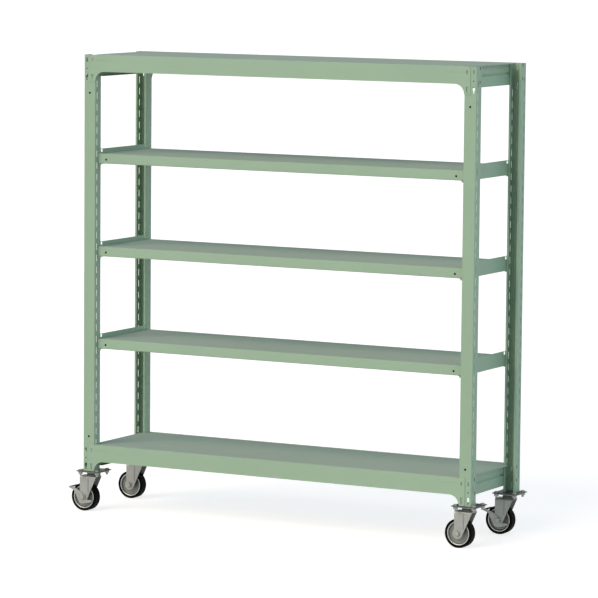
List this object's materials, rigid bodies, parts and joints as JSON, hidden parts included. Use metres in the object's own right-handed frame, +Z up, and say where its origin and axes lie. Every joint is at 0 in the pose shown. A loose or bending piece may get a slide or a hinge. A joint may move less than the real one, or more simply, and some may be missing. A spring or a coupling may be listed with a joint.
{
  "type": "mobile shelving rack",
  "caption": "Steel rack on swivel casters: slotted channel posts, gusseted long beams, flat decks and tray shelves between side rails, with foot brakes on casters at opposite corners",
  "frame": {"origin": "on the floor, in the middle of the footprint of the whole object with its casters", "axes": "+Z up, +Y from the front to the rear across the shelves, +X along the shelves to the right"},
  "size_m": [1.9716, 0.506, 1.98],
  "materials": {
    "paint": "sage green powder coat, satin",
    "board_paint": "sage green powder coat, semi-gloss",
    "zinc": "zinc plated steel",
    "wheel_zinc": "dull zinc plated steel",
    "tyre": "black rubber, matt"
  },
  "bodies": {
    "rack": {"post_front_left": "paint", "foot_plate_front_left": "zinc", "caster_plate_front_left": "zinc", "ball_race_front_left": "zinc", "kingpin_front_left": "zinc", "post_front_right": "paint", "foot_plate_front_right": "zinc", "caster_plate_front_right": "zinc", "ball_race_front_right": "zinc", "kingpin_front_right": "zinc", "post_rear_left": "paint", "foot_plate_rear_left": "zinc", "caster_plate_rear_left": "zinc", "ball_race_rear_left": "zinc", "kingpin_rear_left": "zinc", "post_rear_right": "paint", "foot_plate_rear_right": "zinc", "caster_plate_rear_right": "zinc", "ball_race_rear_right": "zinc", "kingpin_rear_right": "zinc", "top_beam_front": "paint", "top_beam_rear": "paint", "top_side_beam_left": "paint", "top_side_beam_right": "paint", "top_deck": "board_paint", "bottom_beam_front": "paint", "bottom_beam_rear": "paint", "bottom_side_beam_left": "paint", "bottom_side_beam_right": "paint", "bottom_deck": "board_paint", "upper_shelf": "board_paint", "upper_rail_left": "paint", "upper_rail_right": "paint", "middle_shelf": "board_paint", "middle_rail_left": "paint", "middle_rail_right": "paint", "lower_shelf": "board_paint", "lower_rail_left": "paint", "lower_rail_right": "paint"},
    "swivel_front_left": {"fork_front_left": "zinc", "axle_front_left": "zinc"},
    "wheel_front_left": {"wheel_disc_front_left": "wheel_zinc", "tyre_front_left": "tyre"},
    "pedal_front_left": {"brake_pedal_front_left": "zinc"},
    "swivel_front_right": {"fork_front_right": "zinc", "axle_front_right": "zinc"},
    "wheel_front_right": {"wheel_disc_front_right": "wheel_zinc", "tyre_front_right": "tyre"},
    "swivel_rear_left": {"fork_rear_left": "zinc", "axle_rear_left": "zinc"},
    "wheel_rear_left": {"wheel_disc_rear_left": "wheel_zinc", "tyre_rear_left": "tyre"},
    "swivel_rear_right": {"fork_rear_right": "zinc", "axle_rear_right": "zinc"},
    "wheel_rear_right": {"wheel_disc_rear_right": "wheel_zinc", "tyre_rear_right": "tyre"},
    "pedal_rear_right": {"brake_pedal_rear_right": "zinc"}
  },
  "joints": [
    {"name": "front_left_swivel", "type": "hinge", "parent": "rack", "child": "swivel_front_left", "pos_m": [-0.8762, -0.196, 0.155], "axis": [0, 0, 1], "continuous": true},
    {"name": "front_left_wheel_roll", "type": "hinge", "parent": "swivel_front_left", "child": "wheel_front_left", "pos_m": [-0.9158, -0.196, 0.061], "axis": [0, 1, 0], "continuous": true},
    {"name": "front_left_brake_pedal", "type": "hinge", "parent": "swivel_front_left", "child": "pedal_front_left", "pos_m": [-0.9158, -0.196, 0.061], "axis": [0, 1, 0], "range_deg": [-12, 0]},
    {"name": "front_right_swivel", "type": "hinge", "parent": "rack", "child": "swivel_front_right", "pos_m": [0.9288, -0.196, 0.155], "axis": [0, 0, 1], "continuous": true},
    {"name": "front_right_wheel_roll", "type": "hinge", "parent": "swivel_front_right", "child": "wheel_front_right", "pos_m": [0.8892, -0.196, 0.061], "axis": [0, 1, 0], "continuous": true},
    {"name": "rear_left_swivel", "type": "hinge", "parent": "rack", "child": "swivel_rear_left", "pos_m": [-0.8762, 0.196, 0.155], "axis": [0, 0, 1], "continuous": true},
    {"name": "rear_left_wheel_roll", "type": "hinge", "parent": "swivel_rear_left", "child": "wheel_rear_left", "pos_m": [-0.9158, 0.196, 0.061], "axis": [0, 1, 0], "continuous": true},
    {"name": "rear_right_swivel", "type": "hinge", "parent": "rack", "child": "swivel_rear_right", "pos_m": [0.9288, 0.196, 0.155], "axis": [0, 0, 1], "continuous": true},
    {"name": "rear_right_wheel_roll", "type": "hinge", "parent": "swivel_rear_right", "child": "wheel_rear_right", "pos_m": [0.8892, 0.196, 0.061], "axis": [0, 1, 0], "continuous": true},
    {"name": "rear_right_brake_pedal", "type": "hinge", "parent": "swivel_rear_right", "child": "pedal_rear_right", "pos_m": [0.8892, 0.196, 0.061], "axis": [0, 1, 0], "range_deg": [-12, 0]}
  ]
}
